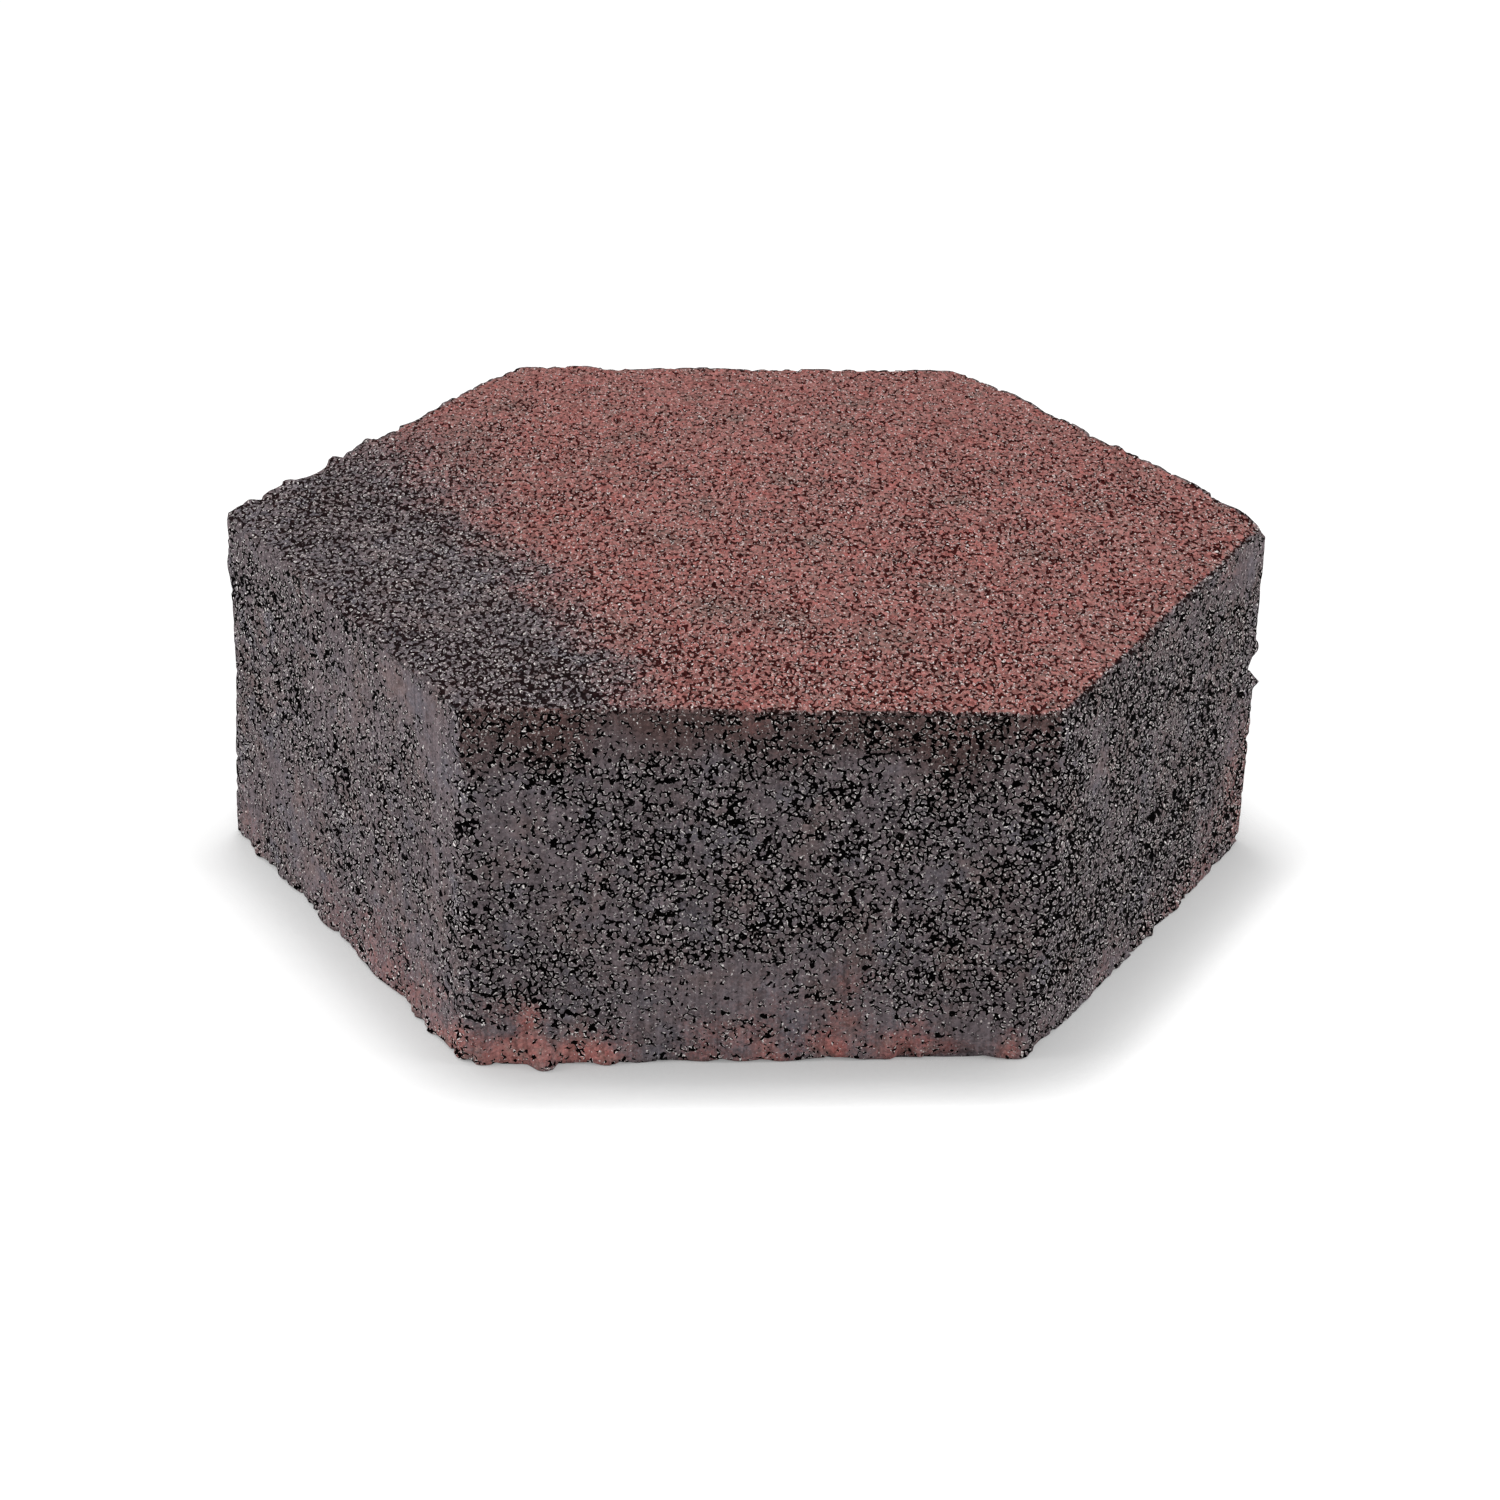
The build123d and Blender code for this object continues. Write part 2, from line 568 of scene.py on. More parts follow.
# where the mould has smeared the skin shut and lighter, and at the front face's foot also painted light
# bounced up
# from the floor: (along, height, across, tall, strength)
smearsAndBounceLight = {
    4: [
        (36, 75, 18, 4, 0.7), (86, 67, 4, 3, 0.7), (56, 17, 17, 7, 0.9), (12, 4, 14, 6, 0.8),
        (9, 54, 7, 12, 0.5), (17, 38, 5, 9, 0.4), (44, 8, 14, 6, 0.6), (66, 10, 12, 8, 0.7),
        (26, 34, 6, 6, 0.6), (12, 60, 6, 5, 0.5), (74, 22, 8, 6, 0.5), (104, 8, 8, 6, 0.7),
        (47, 50, 4, 4, 0.6), (30, 24, 5, 5, 0.4), (95, 44, 5, 4, 0.4), (20, 46, 4, 8, 0.5),
        # from (32, 3) on, the low smears at the foot also paint light bounced up from the floor
        (60, 60, 5, 4, 0.5), (84, 34, 4, 5, 0.4), (32, 3, 12, 3, 0.7), (60, 3, 13, 4, 0.9),
        (83, 6, 13, 8, 0.9), (104, 4, 11, 5, 1.0),
    ],
    3: [
        (96, 74, 16, 5, 1.0), (108, 66, 8, 10, 0.8), (30, 24, 14, 8, 0.6), (56, 54, 10, 8, 0.4),
        (90, 20, 14, 8, 0.5), (72, 62, 8, 12, 0.5), (106, 40, 6, 18, 0.4), (100, 6, 20, 6, 0.6),
        (50, 10, 20, 6, 0.5), (10, 8, 8, 6, 0.5), (20, 78, 14, 2, 0.4),
    ],
    5: [
        (104, 74, 12, 6, 1.0), (88, 76, 10, 3, 0.6), (20, 60, 8, 7, 0.5), (50, 44, 8, 6, 0.3),
        (12, 6, 8, 6, 0.5), (40, 4, 10, 3, 0.6), (66, 74, 16, 4, 0.4), (106, 30, 8, 10, 0.3),
    ],
    0: [(30, 73, 20, 5, 0.8), (80, 20, 16, 8, 0.7), (96, 60, 8, 10, 0.5), (14, 30, 8, 8, 0.5)],
    1: [(60, 74, 30, 4, 0.7), (40, 16, 18, 8, 0.7), (92, 40, 10, 10, 0.4), (12, 50, 8, 8, 0.5)],
    2: [(90, 72, 18, 6, 0.9), (30, 18, 16, 8, 0.6), (60, 44, 10, 8, 0.4), (108, 24, 8, 12, 0.5)],
}

# where the voids crowd together: (along, height, across, tall)
voidClusters = {
    3: [(34, 52, 9, 7), (62, 40, 12, 7), (86, 50, 8, 6), (24, 66, 8, 6)],
    4: [(21, 69, 5, 4), (6, 40, 5, 10), (29, 32, 14, 8), (61, 32, 7, 6), (80, 33, 8, 6), (71, 16, 4, 2),
        (44, 4, 3, 2), (97, 4, 4, 3), (105, 14, 6, 4), (113, 50, 6, 14), (90, 62, 10, 7), (50, 56, 8, 5)],
    5: [(9, 38, 9, 22), (10, 12, 8, 8), (64, 24, 14, 8), (36, 66, 10, 6), (86, 40, 10, 10)],
    0: [(30, 50, 14, 12), (84, 40, 12, 10)],
    1: [(24, 40, 12, 12), (74, 56, 14, 10)],
    2: [(40, 60, 14, 8), (90, 36, 12, 12)],
}


def beyondEdge(x, y, line):
    # distance from the line through these points, above 0 on the left of someone walking along it
    nearest, sign = None, 1
    for (ax, ay), (bx, by) in zip(line, line[1:]):
        wx, wy = bx - ax, by - ay
        t = min(max(((x - ax) * wx + (y - ay) * wy) / (wx * wx + wy * wy), 0), 1)
        dx, dy = x - ax - t * wx, y - ay - t * wy
        distance = math.hypot(dx, dy)
        if nearest is None or distance < nearest:
            nearest = distance
            sign = 1 if wx * dy - wy * dx > 0 else -1
    return nearest * sign


def patchShare(x, y, patches):
    return min(sum(bump(math.hypot(x - px, y - py), reach) for px, py, reach in patches), 1)


def ovalShare(along, height, at, up, across, tall):
    # 1 in the middle of an oval patch, and less the further out
    return bump(math.hypot((along - at) / across, (height - up) / tall), 1)


def wearingPigment(point):
    s = redMix
    past = beyondEdge(point.x, point.y, s["charcoalEdge"]) + wander(point, s["edgeWander"])
    soft = s["charcoalSoftness"] + s["charcoalFeathered"] * fadeIn(point.y, *s["featheredAt"])
    charcoal = fadeIn(past, -soft, soft)
    olive = patchShare(point.x, point.y, s["olivePatches"])
    bright = patchShare(point.x, point.y, s["brightPatches"])
    return charcoal, olive * (1 - charcoal), bright * (1 - charcoal)


def stainShare(side, along, height, point):
    ragged = wander(point, stainEdge, 1)
    stain = 0
    for at, up, reach, strength in jointStains[side]:
        stain += strength * bump(math.hypot(along - at, height - up), reach * ragged)
    return min(stain, 1)


def umberShare(side, height, point):
    s = umberBand
    return s["share"][side] * fadeIn(height + wander(point, s["wander"]), s["starts"], s["full"])


def jointOpen(side, along, height, point):
    s = jointSkin
    smearAndBounce = max(strength * ovalShare(along, height, *oval) for *oval, strength in smearsAndBounceLight[side])
    crowd = max(ovalShare(along, height, *oval) for oval in voidClusters[side])
    openness = s["openness"][side] + wander(point, s["drift"]) + s["crowding"] * crowd
    openness -= smearAndBounce * s["smearing"]
    return min(max(openness, 0), s["most"]), smearAndBounce


def wearingOpen(charcoal, point):
    s = wearingSkin
    openness = s["openness"] + s["charcoalMore"] * charcoal - s["backLess"] * fadeIn(point.y, *s["backAt"])
    openness += s["frontMore"] * fadeIn(-point.y, *s["frontAt"]) * (1 - s["charcoalTakes"] * charcoal)
    openness += wander(point, s["drift"])
    return min(max(openness, 0), 1)


# the stone's mesh

def profileRows():
    # from the wearing face round the arris and down to the bed: inset from the plan, height
    form = stoneForm
    rows = []
    for step in range(form["arrisRows"] + 1):
        angle = math.pi / 2 * step / form["arrisRows"]
        inset = form["arrisRadius"] * (1 - math.sin(angle))
        rows.append((inset, form["thickness"] - form["arrisRadius"] * (1 - math.cos(angle))))
    top, foot = rows[-1][1], form["bedBreak"]
    for step in range(1, form["sideRows"] + 1):
        rows.append((0.0, top + (foot - top) * step / form["sideRows"]))
    rows.append((form["bedBreak"], 0.0))
    return rows


def castPoints():
    # every mesh point before wear: place, outward direction, side, share, ratio of the plan, kind
    form = stoneForm
    columns = form["columns"]
    upward, downward = Vector((0, 0, 1)), Vector((0, 0, -1))
    points = []
    rows = profileRows()
    plan = [[outlinePoint(side, step / columns) for step in range(columns)] for side in range(sideCount)]

    for number, (inset, height) in enumerate(rows):
        for side in range(sideCount):
            for step in range(columns):
                point, outward = plan[side][step]
                lean = math.pi / 2 * min(number / form["arrisRows"], 1)
                facing = (outward * math.sin(lean) + upward * math.cos(lean)).normalized()
                if number == len(rows) - 1:
                    facing = (outward + downward).normalized()
                place = point - outward * inset
                place.z = height
                points.append((place, facing, side, step / columns, 1.0, "side"))

    def addDisc(rings, inset, height, facing, outer, kind):
        for ring in range(rings, 0, -1):
            ratio = outer * ring / rings
            for side in range(sideCount):
                for step in range(ring):
                    point, outward = outlinePoint(side, step / ring)
                    place = (point - outward * inset) * ratio
                    place.z = height
                    points.append((place, facing, side, step / ring, ratio, kind))
        points.append((Vector((0, 0, height)), facing, 0, 0.0, 0.0, kind))

    wearingStart = len(points)
    addDisc(columns - 1, rows[0][0], rows[0][1], upward, (columns - 1) / columns, "wearing")
    bedStart = len(points)
    addDisc(columns // 2, rows[-1][0], 0.0, downward, 1 - 1 / columns, "bed")
    return points, len(rows), wearingStart, bedStart


def ringFaces(outer, outerCount, inner, innerCount, flip):
    # triangles between two rings, each of which has its own number of points on every side
    faces = []
    for side in range(sideCount):
        i = j = 0
        while i < outerCount or j < innerCount:
            a = outer[(side * outerCount + i) % len(outer)]
            b = inner[(side * innerCount + j) % len(inner)]
            stepOuter = (i + 1) * max(innerCount, 1) <= (j + 1) * outerCount or j >= innerCount
            if i < outerCount and stepOuter:
                c = outer[(side * outerCount + i + 1) % len(outer)]
                faces.append((a, c, b))
                i += 1
            else:
                c = inner[(side * innerCount + j + 1) % len(inner)]
                faces.append((a, c, b))
                j += 1
    return [tuple(reversed(face)) for face in faces] if flip else faces


def castFaces(rowCount, wearingStart, bedStart):
    columns = stoneForm["columns"]
    around = columns * sideCount
    faces = []
    for row in range(rowCount - 1):
        for column in range(around):
            right = (column + 1) % around
            faces.append((row * around + column, (row + 1) * around + column,
                          (row + 1) * around + right, row * around + right))

    def discFaces(start, rings, rim, rimCount, flip):
        outer, outerCount = rim, rimCount
        for ring in range(rings, 0, -1):
            inner = list(range(start, start + sideCount * ring))
            faces.extend(ringFaces(outer, outerCount, inner, ring, flip))
            outer, outerCount = inner, ring
            start += sideCount * ring
        faces.extend(ringFaces(outer, 1, [start], 0, flip))

    discFaces(wearingStart, columns - 1, list(range(around)), columns, False)
    lastRow = list(range((rowCount - 1) * around, rowCount * around))
    discFaces(bedStart, columns // 2, lastRow, columns, True)
    return faces


def arrisLoss(place, point, inset, drop):
    # how much the edge of the wearing face has lost here
    s = edgeWear
    fromEdge = math.hypot(inset, drop)
    reach = bump(fromEdge, s["arrisReach"])
    fullReach = bump(fromEdge, s["arrisReach"] * s["biteReach"])
    loss = max(noiseAt(point, *s["arrisRaggedNoise"]) + s["arrisRaggedBias"], 0) * s["arrisRagged"]
    burrs = [(at, length, -height) for at, length, height in s["arrisBurrs"]]
    for at, length, depth in s["arrisBites"] + burrs:
        wide = bump(apart(place, at), length / 2, s["biteBluntness"])
        reach = max(reach, wide * fullReach)
        loss += depth * wide
    return loss * reach


def footGrowth(place, point, height):
    # how far the ragged foot stands out, and how far it is lifted off the floor
    s = edgeWear
    fade = bump(max(height, 0), s["footReach"])
    drawnUp = Vector((point.x, point.y, height * s["footDrawnUp"]))
    growth = noiseAt(drawnUp, *s["footRaggedNoise"]) * s["footRagged"]
    level = Vector((point.x, point.y, 0))
    lift = max(noiseAt(level, *s["footLiftNoise"]) + s["footLiftBias"], 0) * s["footLift"]
    for at, length, out in s["footLumps"]:
        wide = bump(apart(place, at), length / 2, s["lumpBluntness"])
        growth += out * wide
        lift *= 1 - wide
    return growth * fade, lift


def skinAt(kind, side, along, point):
    # charcoal, olive, bright and brown pigment, openness, and smearing with its painted bounce light, each
    # from 0 to about 1
    if kind == "wearing":
        charcoal, olive, bright = wearingPigment(point)
        return charcoal, olive, bright, 0.0, wearingOpen(charcoal, point), 0.0
    if kind == "side":
        charcoal = 1 - stainShare(side, along, point.z, point)
        openness, smearAndBounce = jointOpen(side, along, point.z, point)
        return charcoal, 0.0, 0.0, umberShare(side, point.z, point), openness, smearAndBounce
    return 1.0, 0.0, 0.0, 0.0, bedOpenness, 0.0


def hollowAt(openness, point):
    # 1 in the middle of an open void, and 0 in sound skin
    startLevel, startDrop = reliefSize["hollowStart"]
    fullLevel, fullDrop = reliefSize["hollowFull"]
    pit = noiseAt(point, *reliefSize["hollowNoise"])
    return fadeIn(-pit, startLevel - startDrop * openness, fullLevel - fullDrop * openness)


def edgeShift(kind, place, point, outward, inset):
    # how wear moves a point at the wearing face's edge, at the foot and at a knocked corner
    wear = edgeWear
    height = point.z
    drop = stoneForm["thickness"] - height
    shift = Vector((0, 0, 0))
    if drop < wear["arrisZone"] and inset < wear["arrisZone"]:
        inwardAndDown = outward * -wear["lossInward"] - Vector((0, 0, wear["lossDownward"]))
        shift += inwardAndDown * arrisLoss(place, point, inset, drop)
    if kind != "side":
        return shift
    if height < wear["footZone"]:
        growth, lift = footGrowth(place, point, height)
        shift += outward.normalized() * growth
        shift.z += lift * bump(height, wear["footReach"] / 2)
    for at, up, width, tall, out in wear["cornerKnocks"]:
        if apart(place, at) < wear["cornerZone"]:
            shift += outward.normalized() * out * bump(apart(place, at), width) * bump(height - up, tall)
    return shift


def wornPoint(record):
    point, facing, side, share, ratio, kind = record
    relief = reliefSize
    place = side + share
    inset = (1 - ratio) * stoneForm["apothem"]
    charcoal, olive, bright, brown, openness, smearAndBounce = skinAt(kind, side, share * circumradius, point)

    offset = wander(point, relief["surface"])
    if kind == "bed":
        offset *= relief["bedShare"]
    else:
        hollow = hollowAt(openness, point)
        openness += hollow * relief["hollowOpens"][kind]
        offset -= hollow * relief["hollowDepth"] * relief["hollowShare"][kind]

    rim, rimOutward = outlinePoint(side, share)
    outward = rimOutward if kind == "wearing" else Vector((facing.x, facing.y, 0))
    moved = point + nudgeAt(side, share, ratio, point.z) + facing * offset
    moved += edgeShift(kind, place, point, outward, inset)
    if kind == "bed":
        lift = footGrowth(place, rim, 0)[1]
        moved.z = max(moved.z, 0) + lift * bump(inset, edgeWear["bedLiftReach"])
    moved.z = max(moved.z, 0)
    return moved * mm, charcoal, olive, bright, brown, openness, smearAndBounce


def wearingShare(record):
    # 1 on the wearing face and at the top of its rounded edge, 0 on the joint faces
    place, kind = record[0], record[5]
    if kind == "wearing":
        return 1.0
    top, arris = stoneForm["thickness"], stoneForm["arrisRadius"]
    return fadeIn(place.z, top - arris, top - arris * stoneForm["arrisFace"])


def makeStone():
    points, rowCount, wearingStart, bedStart = castPoints()
    faces = castFaces(rowCount, wearingStart, bedStart)
    worn = [wornPoint(record) for record in points]
    mesh = bpy.data.meshes.new("pavingStone")
    mesh.from_pydata([w[0] for w in worn], [], faces)
    for number, name in enumerate(("charcoal", "olive", "bright", "brown", "openness", "smearAndBounce"), 1):
        layer = mesh.attributes.new(name, "FLOAT", "POINT")
        layer.data.foreach_set("value", [w[number] for w in worn])
    layer = mesh.attributes.new("wearing", "FLOAT", "POINT")
    layer.data.foreach_set("value", [wearingShare(record) for record in points])
    mesh.polygons.foreach_set("use_smooth", [True] * len(mesh.polygons))
    mesh.update()
    stone = bpy.data.objects.new("pavingStone", mesh)
    bpy.context.scene.collection.objects.link(stone)
    triangles = sum(len(face) - 2 for face in faces)
    print("stone cast:", len(points), "points", triangles, "triangles")
    return stone


stone = makeStone()


# effects

# in the voids' own unit, one span between seams; levels are those of noise between 0 and 1
voidShape = {
    # the seams between the grains, which noise bends
    "bendScale": 1.7,
    "bend": 0.5,
    # a seam is open where this noise is above a level, which falls as the skin opens
    "gateSlide": (7.1, 3.3, 5.9),
    "gateScale": 1.1,
    "gateClosed": 0.66,
    "gateOpen": 0.33,
    "fullyOpen": 1.2,             # the openness at which the level is lowest
    "endFade": 0.10,              # over how much of the noise a crack grows to its full width
    "thinnest": 0.002,
    "wideningAt": (0.9, 1.3),     # the openness between which cracks widen, up to this many times
    "widening": 1.25,
    "crackSoftness": 0.85,        # where it is fully dark, as a share of its width
    "crackSlope": (1.1, 0.3),     # where its depth starts and is full, as shares too
    "crackRim": (0.11, 0.03),     # beyond the crack, where its rim ends and is full
    "rimEnds": (0.02, 0.09),      # above the gate's level, where the rim starts and is full
    # pinholes are where another noise is below a level; rim and slope are measured up from it
    "pinSlide": (-4.2, 8.8, 1.7),
    "pinScale": 2.6,
    "pinClosed": 0.22,
    "pinSoftness": 0.03,
    "pinRim": (0.08, 0.01),
    "pinSlope": (0.01, -0.04),
}


def makeVoidsGroup(s):
    # open voids between the grains: short crooked cracks and round pinholes; Void marks where painted shade
    # darkens them and Rim marks their rims, where painted highlights go
    tree, given, result = newGroup("voids", [
        ("Point", "NodeSocketVector", None),
        ("Span", "NodeSocketFloat", 2.4),
        ("Width", "NodeSocketFloat", 0.08),
        ("Pins", "NodeSocketFloat", 0.35),
        ("Open", "NodeSocketFloat", 0.5),
    ], [("Void", "NodeSocketFloat"), ("Rim", "NodeSocketFloat"), ("Depth", "NodeSocketFloat")])
    point = scaled(tree, given.outputs["Point"], mathNode(tree, "DIVIDE", 1.0, given.outputs["Span"]))

    # a crack follows the seam between two grains, is widest in mid stretch and runs out at the ends
    seam = tree.nodes.new("ShaderNodeTexVoronoi")
    seam.feature = "DISTANCE_TO_EDGE"
    tree.links.new(bent(tree, point, s["bendScale"], s["bend"]), seam.inputs["Vector"])
    seam.inputs["Scale"].default_value = 1
    seam.inputs["Randomness"].default_value = 1
    crack = seam.outputs["Distance"]
    gate = noiseNode(tree, shifted(tree, point, s["gateSlide"]), s["gateScale"])
    openness = given.outputs["Open"]
    gateLevel = ramp(tree, openness, 0, s["fullyOpen"], s["gateClosed"], s["gateOpen"], smooth=False)
    widening = ramp(tree, openness, *s["wideningAt"], 1.0, s["widening"], smooth=False)
    widest = times(tree, given.outputs["Width"], widening)
    width = ramp(tree, gate, gateLevel, plus(tree, gateLevel, s["endFade"]), s["thinnest"], widest)

    def levelsAbove(level, amounts):
        return [plus(tree, level, amount) for amount in amounts]

    cracked = ramp(tree, crack, width, times(tree, width, s["crackSoftness"]))
    crackRim = ramp(tree, crack, *levelsAbove(width, s["crackRim"]))
    crackRim = times(tree, crackRim, ramp(tree, gate, *levelsAbove(gateLevel, s["rimEnds"])))
    crackDepth = ramp(tree, crack, *(times(tree, width, share) for share in s["crackSlope"]))

    pin = noiseNode(tree, shifted(tree, point, s["pinSlide"]), s["pinScale"])
    pinLevel = ramp(tree, openness, 0, 1, s["pinClosed"], given.outputs["Pins"], smooth=False)
    pinhole = ramp(tree, pin, pinLevel, minus(tree, pinLevel, s["pinSoftness"]))
    pinRim = ramp(tree, pin, *levelsAbove(pinLevel, s["pinRim"]))
    pinDepth = ramp(tree, pin, *levelsAbove(pinLevel, s["pinSlope"]))

    void = largest(tree, cracked, pinhole)
    tree.links.new(void, result.inputs["Void"])
    # the rims, which take painted highlights
    rim = times(tree, largest(tree, crackRim, pinRim), minus(tree, 1.0, void))
    tree.links.new(rim, result.inputs["Rim"])
    tree.links.new(largest(tree, crackDepth, pinDepth), result.inputs["Depth"])
    return tree


sandShape = {
    "lowest": 0.45,               # height of the lowest grain, as a share of the highest
    "bluntness": 2.0,
    "paleCore": (0.5, 0.3),       # where a pale grain's colour ends and is full, from its middle
}


def makeSandGroup(s):
    # sand grains in the surface: a rounded height, a tone for each grain and a few pale ones
    tree, given, result = newGroup("sand", [
        ("Point", "NodeSocketVector", None),
        ("Size", "NodeSocketFloat", 0.7),
        ("Pale Share", "NodeSocketFloat", 0.05),
    ], [("Height", "NodeSocketFloat"), ("Tone", "NodeSocketFloat"), ("Pale", "NodeSocketFloat")])
    point = scaled(tree, given.outputs["Point"], mathNode(tree, "DIVIDE", 1.0, given.outputs["Size"]))
    grain = tree.nodes.new("ShaderNodeTexVoronoi")
    grain.feature = "F1"
    tree.links.new(point, grain.inputs["Vector"])
    grain.inputs["Scale"].default_value = 1
    grain.inputs["Randomness"].default_value = 1
    distance = grain.outputs["Distance"]
    fromMiddle = mathNode(tree, "MINIMUM", distance, 1.0)
    dome = minus(tree, 1.0, mathNode(tree, "POWER", fromMiddle, s["bluntness"]))
    parts = tree.nodes.new("ShaderNodeSeparateColor")
    tree.links.new(grain.outputs["Color"], parts.inputs["Color"])
    proud = ramp(tree, parts.outputs["Blue"], 0, 1, s["lowest"], 1.0, smooth=False)
    pale = mathNode(tree, "LESS_THAN", parts.outputs["Green"], given.outputs["Pale Share"])
    tree.links.new(times(tree, dome, proud), result.inputs["Height"])
    tree.links.new(parts.outputs["Red"], result.inputs["Tone"])
    tree.links.new(times(tree, pale, ramp(tree, distance, *s["paleCore"])), result.inputs["Pale"])
    return tree


pigmentClouds = {
    "detail": 4.0,
    "roughness": 0.65,
    "warmAt": (0.46, 0.68),       # noise between which the warm tone comes in, and then the cool one
    "coolAt": (0.48, 0.70),
    "coolScale": 1.37,
    "coolSlide": (5.5, 2.1, 9.4),
}


def makePigmentGroup(s):
    # one pigment wandering between three tones
    tree, given, result = newGroup("pigment", [
        ("Point", "NodeSocketVector", None),
        ("Span", "NodeSocketFloat", 8.0),
        ("Main", "NodeSocketColor", (0.2, 0.1, 0.1, 1)),
        ("Warm", "NodeSocketColor", (0.2, 0.1, 0.1, 1)),
        ("Cool", "NodeSocketColor", (0.2, 0.1, 0.1, 1)),
    ], [("Color", "NodeSocketColor")])
    point = scaled(tree, given.outputs["Point"], mathNode(tree, "DIVIDE", 1.0, given.outputs["Span"]))
    warmField = noiseNode(tree, point, 1.0, s["detail"], s["roughness"])
    slid = shifted(tree, point, s["coolSlide"])
    coolField = noiseNode(tree, slid, s["coolScale"], s["detail"], s["roughness"])
    warm = ramp(tree, warmField, *s["warmAt"])
    color = mixColor(tree, warm, given.outputs["Main"], given.outputs["Warm"])
    cool = ramp(tree, coolField, *s["coolAt"])
    color = mixColor(tree, cool, color, given.outputs["Cool"])
    tree.links.new(color, result.inputs["Color"])
    return tree


voidsGroup = makeVoidsGroup(voidShape)
sandGroup = makeSandGroup(sandShape)
pigmentGroup = makePigmentGroup(pigmentClouds)
print("effects built")


# the concrete

concrete = {
    # pigments
    "red": {"Span": 4.5, "Main": (0.302, 0.129, 0.117), "Warm": (0.312, 0.101, 0.091),
            "Cool": (0.255, 0.146, 0.130)},
    "charcoal": {"Span": 13.0, "Main": (0.139, 0.115, 0.124), "Warm": (0.154, 0.116, 0.116),
                 "Cool": (0.126, 0.115, 0.131)},
    "brightRed": (0.328, 0.110, 0.095),
    "brightShare": 0.45,
    "olive": (0.150, 0.128, 0.112),
    "oliveShare": 0.55,
    "brown": (0.092, 0.059, 0.057),
    "tone": {"joint": 0.95, "wearing": 0.955},

    # the noise that breaks the edges of a pigment up, and between what levels an edge then runs
    "breaking": {"scale": 1.3, "detail": 3.0, "roughness": 0.7},
    "breakingAmount": 1.8,
    "faceEdge": (0.35, 0.65),
    "charcoalEdge": (0.0, 1.0),
    "charcoalBreaking": 0.6,
    "patchEdge": (0.2, 1.3),

    # sand grains
    "bareAt": (0.25, 1.0),        # openness between which the grains of a joint face come bare
    "jointBareness": 0.3,
    "smearCover": 0.85,           # how much of the bareness a full smear takes away
    "grainSize": 0.54,
    "grainUpright": 0.6,          # across Y, under 1 draws the wearing face's grains out that way
    "grainHeight": {"skin": 0.06, "open": 0.26},
    "grainTone": {"skin": 0.32, "open": 0.50},
    "grainRelief": 0.15,
    "paleGrain": (0.66, 0.59, 0.57),
    "paleShare": {"skin": 0.01, "open": 0.08},
    "paleStrength": 0.85,

    # voids; the painted shade inside one is what is left of the colour there, on a joint face and in the
    # wearing face's two pigments
    "voidShade": {"joint": (0.01, 0.01, 0.01), "red": (0.13, 0.06, 0.06), "charcoal": (0.09, 0.06, 0.06)},
    "crackSpan": {"joint": 1.30, "wearing": 1.15},
    "crackWidth": {"joint": 0.18, "wearing": 0.22},
    "pinLevel": {"joint": 0.34, "wearing": 0.38},
    "crackDepth": 0.25,

    # painted highlights on the rims of voids: their colour, how far the rims take it on, the span of the
    # noise that picks them, its levels and the share that all of them get
    "glint": (0.95, 0.90, 0.88),
    "glintShare": {"joint": 1.25, "wearing": 1.0},
    "glintSpan": 0.55,
    "glintAt": (0.48, 0.64),
    "glintLeast": 0.08,

    # the mould's work on the joint faces: lighter smears, which at the front face's foot also stand for
    # painted light bounced up from the floor, and upright streaks
    "smearAndBounceTone": 0.19,
    "streakTone": 1.4,
    "streakScale": (1.1, 1.1, 0.04),
    "streakNoise": {"scale": 1.0, "detail": 2.0, "roughness": 0.6},

    "roughness": 0.9,
    "gloss": 0.01,
}


def attribute(tree, name):
    node = tree.nodes.new("ShaderNodeAttribute")
    node.attribute_type = "GEOMETRY"
    node.attribute_name = name
    return node.outputs["Fac"]


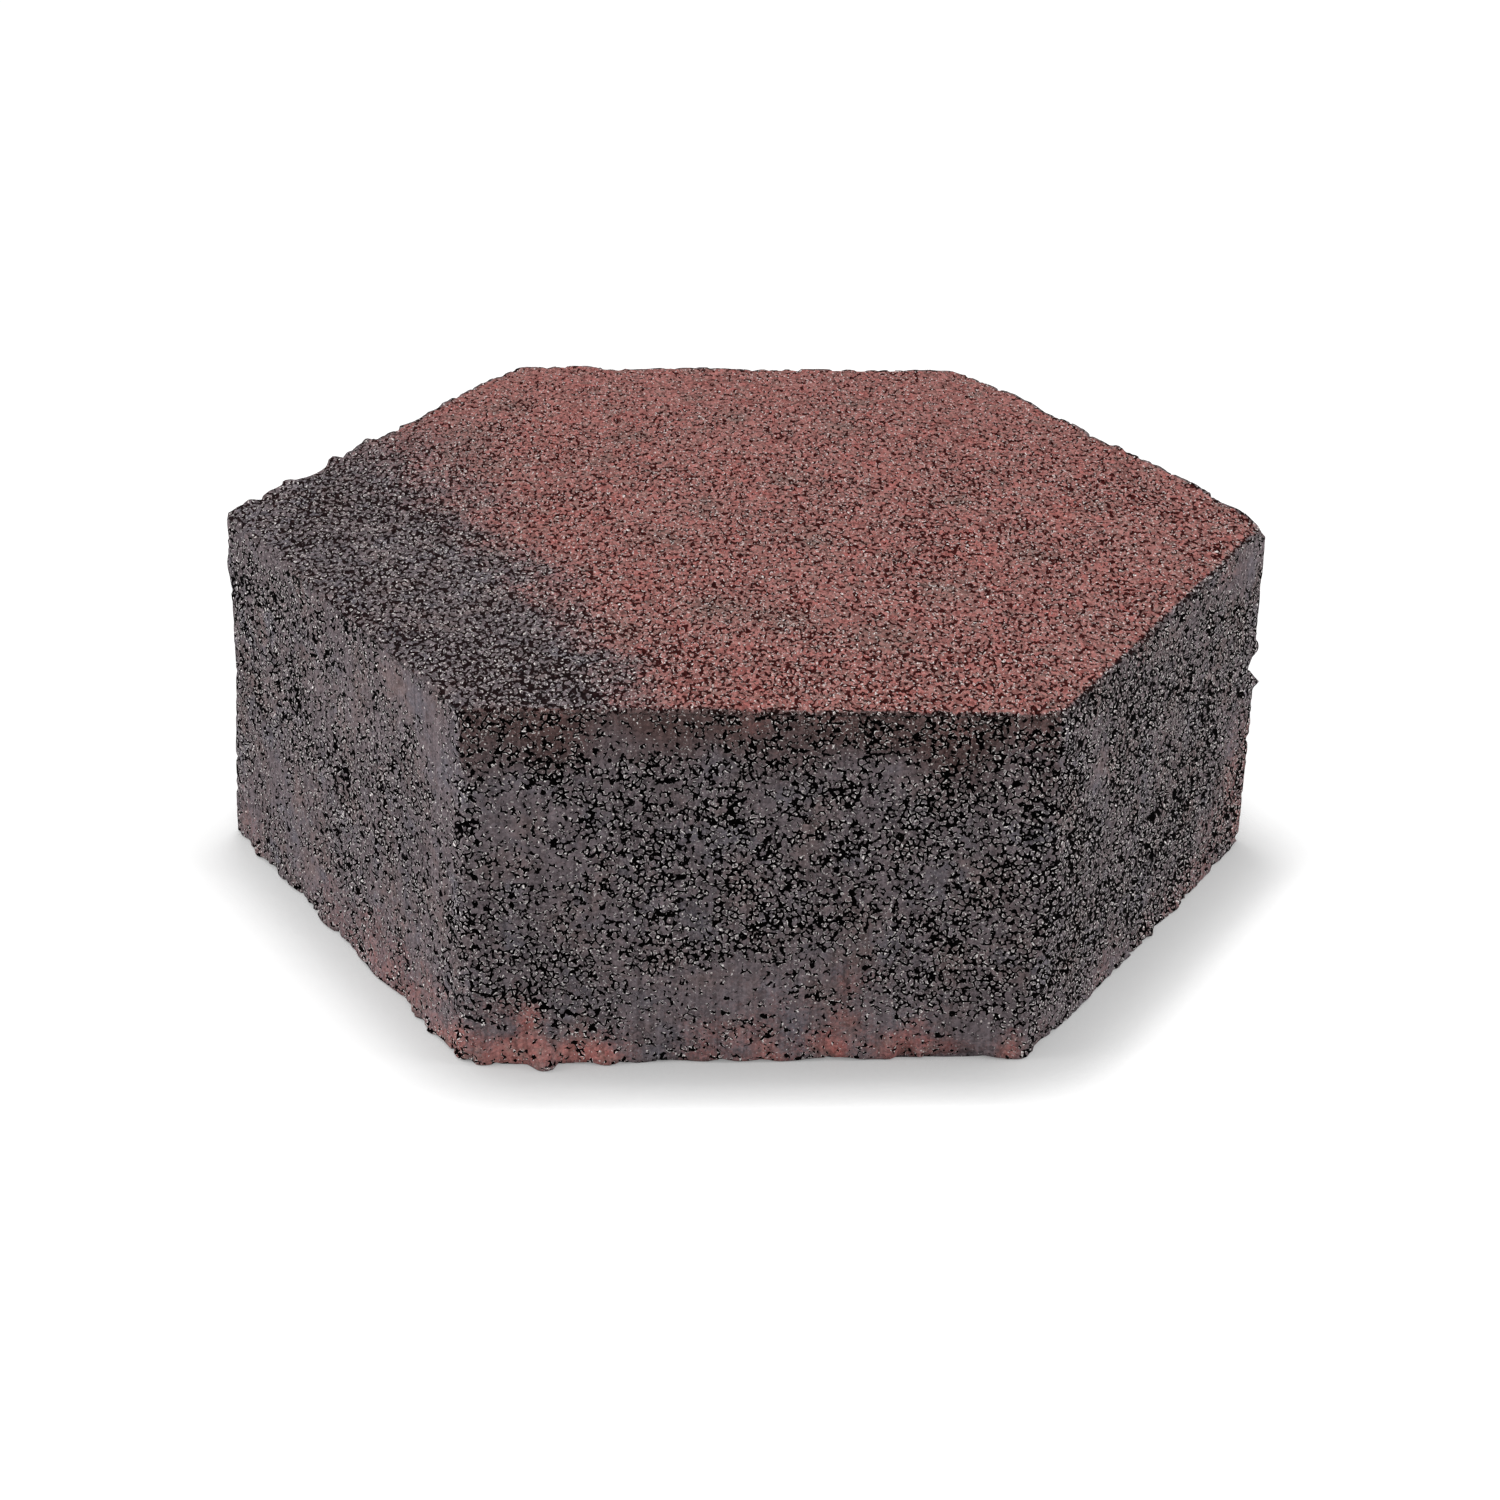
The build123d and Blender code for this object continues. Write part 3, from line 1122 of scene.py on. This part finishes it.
def makeConcrete(s):
    material = bpy.data.materials.new("pressedConcrete")
    material.use_nodes = True
    tree = material.node_tree
    body = tree.nodes["Principled BSDF"]
    body.inputs["Roughness"].default_value = s["roughness"]
    body.inputs["Specular IOR Level"].default_value = s["gloss"]
    point = scaled(tree, tree.nodes.new("ShaderNodeTexCoord").outputs["Object"], 1 / mm)

    openness, smearAndBounce, brown = (attribute(tree, name) for name in ("openness", "smearAndBounce", "brown"))
    grainNoise = noiseNode(tree, point, **s["breaking"])
    jitter = times(tree, minus(tree, grainNoise, 0.5), s["breakingAmount"])

    def broken(name, start, end, share=1.0):
        # an attribute whose edge follows the grains
        return ramp(tree, plus(tree, attribute(tree, name), times(tree, jitter, share)), start, end)

    wearing = broken("wearing", *s["faceEdge"])
    charcoal = broken("charcoal", *s["charcoalEdge"], s["charcoalBreaking"])
    joint = minus(tree, 1.0, wearing)

    # how far the grains are bare: fully on the wearing face, and around the voids of a joint face
    bare = largest(tree, wearing, ramp(tree, openness, *s["bareAt"], 0.0, s["jointBareness"]))
    bare = times(tree, bare, minus(tree, 1.0, times(tree, smearAndBounce, s["smearCover"])))

    def byBareness(pair):
        return ramp(tree, bare, 0, 1, pair["skin"], pair["open"], smooth=False)

    def byFace(pair):
        return ramp(tree, wearing, 0, 1, pair["joint"], pair["wearing"], smooth=False)

    # pigments
    red = placeGroup(tree, pigmentGroup, Point=point, **s["red"]).outputs["Color"]
    bright = times(tree, broken("bright", *s["patchEdge"]), s["brightShare"])
    red = mixColor(tree, bright, red, s["brightRed"])
    olive = times(tree, broken("olive", *s["patchEdge"]), s["oliveShare"])
    red = mixColor(tree, olive, red, s["olive"])
    dark = placeGroup(tree, pigmentGroup, Point=point, **s["charcoal"]).outputs["Color"]
    dark = mixColor(tree, brown, dark, s["brown"])
    color = mixColor(tree, charcoal, red, dark)

    # sand, voids and the streaks that the mould dragged down the skin
    axes = tree.nodes.new("ShaderNodeCombineXYZ")
    axes.inputs["X"].default_value = 1
    axes.inputs["Z"].default_value = 1
    tree.links.new(plus(tree, times(tree, wearing, s["grainUpright"] - 1), 1.0), axes.inputs["Y"])
    drawnOut = tree.nodes.new("ShaderNodeVectorMath")
    drawnOut.operation = "MULTIPLY"
    tree.links.new(point, drawnOut.inputs[0])
    tree.links.new(axes.outputs["Vector"], drawnOut.inputs[1])
    grainPoint = drawnOut.outputs["Vector"]
    sand = placeGroup(tree, sandGroup, Point=grainPoint, Size=s["grainSize"])
    tree.links.new(byBareness(s["paleShare"]), sand.inputs["Pale Share"])
    voids = placeGroup(tree, voidsGroup, Point=grainPoint, Span=byFace(s["crackSpan"]),
                       Width=byFace(s["crackWidth"]), Pins=byFace(s["pinLevel"]), Open=openness)
    streak = noiseNode(tree, stretched(tree, point, s["streakScale"]), **s["streakNoise"])
    streak = times(tree, times(tree, minus(tree, streak, 0.5), s["streakTone"]), joint)

    # the tone of a grain lies within grainTone of its face's own
    tone = times(tree, minus(tree, sand.outputs["Tone"], 0.5), times(tree, byBareness(s["grainTone"]), 2.0))
    # painted highlights (glints) on the rims of the voids
    picked = noiseNode(tree, grainPoint, 1 / s["glintSpan"])
    glint = ramp(tree, picked, *s["glintAt"], s["glintLeast"], 1.0)
    glint = times(tree, voids.outputs["Rim"], times(tree, glint, byFace(s["glintShare"])))
    # a face's own tone, lifted where smeared; that lift is partly painted bounce light, mostly at the front
    # face's foot
    skinAndBounceTone = plus(tree, byFace(s["tone"]), times(tree, smearAndBounce, s["smearAndBounceTone"]))
    tone = plus(tree, plus(tree, tone, streak), skinAndBounceTone)
    color = mixColor(tree, glint, scaled(tree, color, tone), s["glint"])
    color = mixColor(tree, times(tree, sand.outputs["Pale"], s["paleStrength"]), color, s["paleGrain"])
    # painted shade inside the voids
    voidShadeColor = mixColor(tree, charcoal, s["voidShade"]["red"], s["voidShade"]["charcoal"])
    voidShadeColor = mixColor(tree, wearing, s["voidShade"]["joint"], voidShadeColor)
    shade = mixColor(tree, voids.outputs["Void"], (1.0, 1.0, 1.0), voidShadeColor)
    color = mixColor(tree, 1.0, color, shade, "MULTIPLY")
    tree.links.new(color, body.inputs["Base Color"])

    # relief, in millimetres
    relief = times(tree, sand.outputs["Height"], byBareness(s["grainHeight"]))
    relief = minus(tree, relief, times(tree, voids.outputs["Depth"], s["crackDepth"]))
    relief = plus(tree, relief, times(tree, grainNoise, s["grainRelief"]))
    bumpNode = tree.nodes.new("ShaderNodeBump")
    bumpNode.inputs["Strength"].default_value = 1.0
    bumpNode.inputs["Distance"].default_value = mm
    tree.links.new(relief, bumpNode.inputs["Height"])
    tree.links.new(bumpNode.outputs["Normal"], body.inputs["Normal"])
    return material


stone.data.materials.append(makeConcrete(concrete))
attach(stone, "root")
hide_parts(stoneNode)
print("concrete finished")
